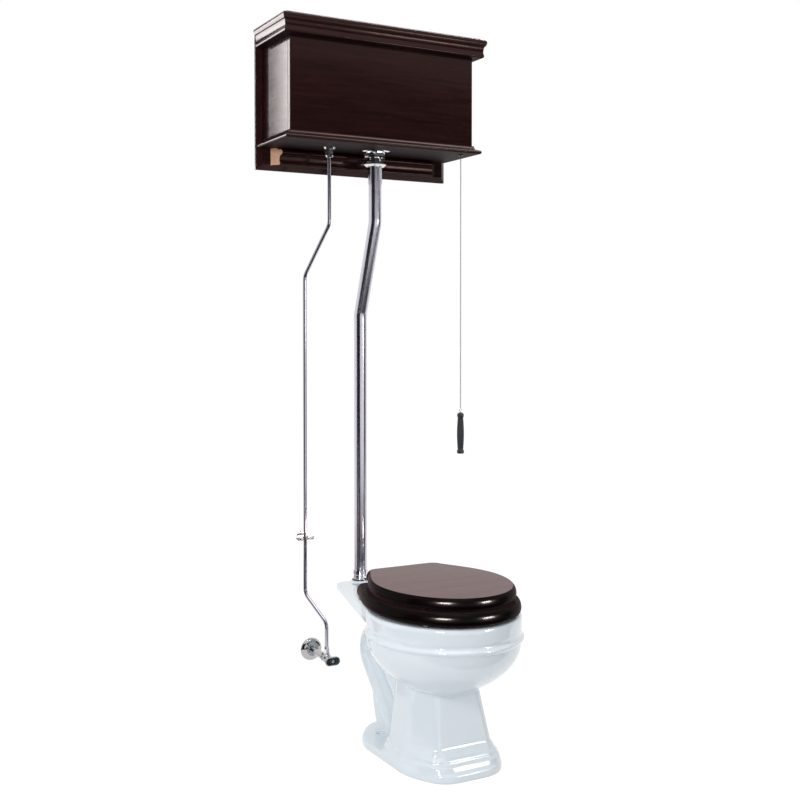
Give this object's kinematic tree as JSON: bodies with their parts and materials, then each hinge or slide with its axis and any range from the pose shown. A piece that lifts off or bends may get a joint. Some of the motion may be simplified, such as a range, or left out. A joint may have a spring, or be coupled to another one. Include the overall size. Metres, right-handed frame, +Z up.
{
  "type": "high_level_toilet",
  "caption": "High-level toilet: white china bowl with a dark wooden seat, and a wall-hung mahogany tank with a flush pipe, a supply tube and a ball-chain pull.",
  "frame": {"origin": "centre of the bowl's outlet, on the floor", "axes": "X to the right of the bowl seen from the front, Y towards the wall, Z up"},
  "size_m": [0.6238, 0.7249, 1.911],
  "materials": {
    "china": "glossy glaze",
    "mahogany": "dark stain under gloss lacquer",
    "chrome": "polished",
    "satin_metal": "satin",
    "brass": "plain",
    "rubber": "matte",
    "liner": "matte",
    "float": "moulded",
    "handle": "dark satin stain"
  },
  "bodies": {
    "base": {"bowl": "china", "spud_bushing": "rubber", "flush_spud": "chrome", "flush_pipe": "satin_metal", "flush_tailpiece": "satin_metal", "slip_nut": "chrome", "flush_locknut": "chrome", "flush_escutcheon": "chrome", "flush_valve_body": "brass", "flush_valve_washer": "rubber", "overflow_tube": "brass", "lift_guide": "brass", "wall_board": "mahogany", "ledger_moulding": "mahogany", "tank_floor": "mahogany", "tank_front": "mahogany", "tank_left": "mahogany", "tank_right": "mahogany", "tank_back": "mahogany", "base_moulding_front": "mahogany", "base_moulding_left": "mahogany", "base_moulding_right": "mahogany", "tank_liner": "liner", "lever_bracket": "brass", "chain_bushing": "brass", "fill_valve_body": "brass", "fill_locknut": "chrome", "supply_tube": "chrome", "supply_nut_top": "chrome", "supply_nut_bottom": "chrome", "pipe_bracket": "chrome", "bracket_clip": "chrome", "bracket_screws": "chrome", "stop_valve_body": "chrome", "packing_nut": "chrome", "wall_escutcheon": "chrome", "hinge_posts": "chrome", "hinge_pin": "chrome", "hinge_bolts": "brass"},
    "tank_lid": {"tank_lid_panel": "mahogany", "crown_front": "mahogany", "crown_left": "mahogany", "crown_right": "mahogany"},
    "trip_lever": {"trip_lever": "brass"},
    "pull": {"pull_chain": "chrome", "handle_eye": "chrome", "pull_handle": "handle"},
    "lift": {"lift_rod": "brass", "tank_ball": "rubber"},
    "float": {"float_arm": "brass", "float_ball": "float"},
    "plunger": {"valve_plunger": "brass"},
    "stop_handle": {"stop_stem": "chrome", "stop_handle": "chrome"},
    "seat_ring": {"seat_ring": "mahogany", "seat_bumpers": "rubber", "ring_hinges": "chrome"},
    "seat_lid": {"seat_lid": "mahogany", "lid_bumpers": "rubber", "lid_hinges": "chrome"}
  },
  "joints": [
    {"name": "tank_lid_lift", "type": "slide", "parent": "base", "child": "tank_lid", "axis": [0, 0, 1], "range_m": [0, 0.12]},
    {"name": "lever_turn", "type": "hinge", "parent": "base", "child": "trip_lever", "pos_m": [0.14, 0.196, 1.8202], "axis": [0, 1, 0], "range_deg": [0, 16]},
    {"name": "pull_slide", "type": "slide", "parent": "base", "child": "pull", "axis": [0, 0, -1], "range_m": [0, 0.033]},
    {"name": "lift_slide", "type": "slide", "parent": "base", "child": "lift", "axis": [0, 0, 1], "range_m": [0, 0.0347]},
    {"name": "float_swing", "type": "hinge", "parent": "base", "child": "float", "pos_m": [-0.142, 0.196, 1.7902], "axis": [0, 1, 0], "range_deg": [0, 20]},
    {"name": "plunger_slide", "type": "slide", "parent": "base", "child": "plunger", "axis": [0, 0, -1], "range_m": [0, 0.0053]},
    {"name": "stop_turn", "type": "hinge", "parent": "base", "child": "stop_handle", "pos_m": [-0.134, 0.2, 0.178], "axis": [0, 1, 0], "range_deg": [0, 90]},
    {"name": "seat_ring_hinge", "type": "hinge", "parent": "base", "child": "seat_ring", "pos_m": [0, 0.044, 0.425], "axis": [-1, 0, 0], "range_deg": [0, 95]},
    {"name": "seat_lid_hinge", "type": "hinge", "parent": "seat_ring", "child": "seat_lid", "pos_m": [0, 0.044, 0.425], "axis": [1, 0, 0], "range_deg": [-100, 0]}
  ],
  "couplings": [
    {"joint": "pull_slide", "follows": "lever_turn", "m_per_rad": 0.11817},
    {"joint": "lift_slide", "follows": "lever_turn", "m_per_rad": 0.12426},
    {"joint": "plunger_slide", "follows": "float_swing", "m_per_rad": 0.015183}
  ]
}
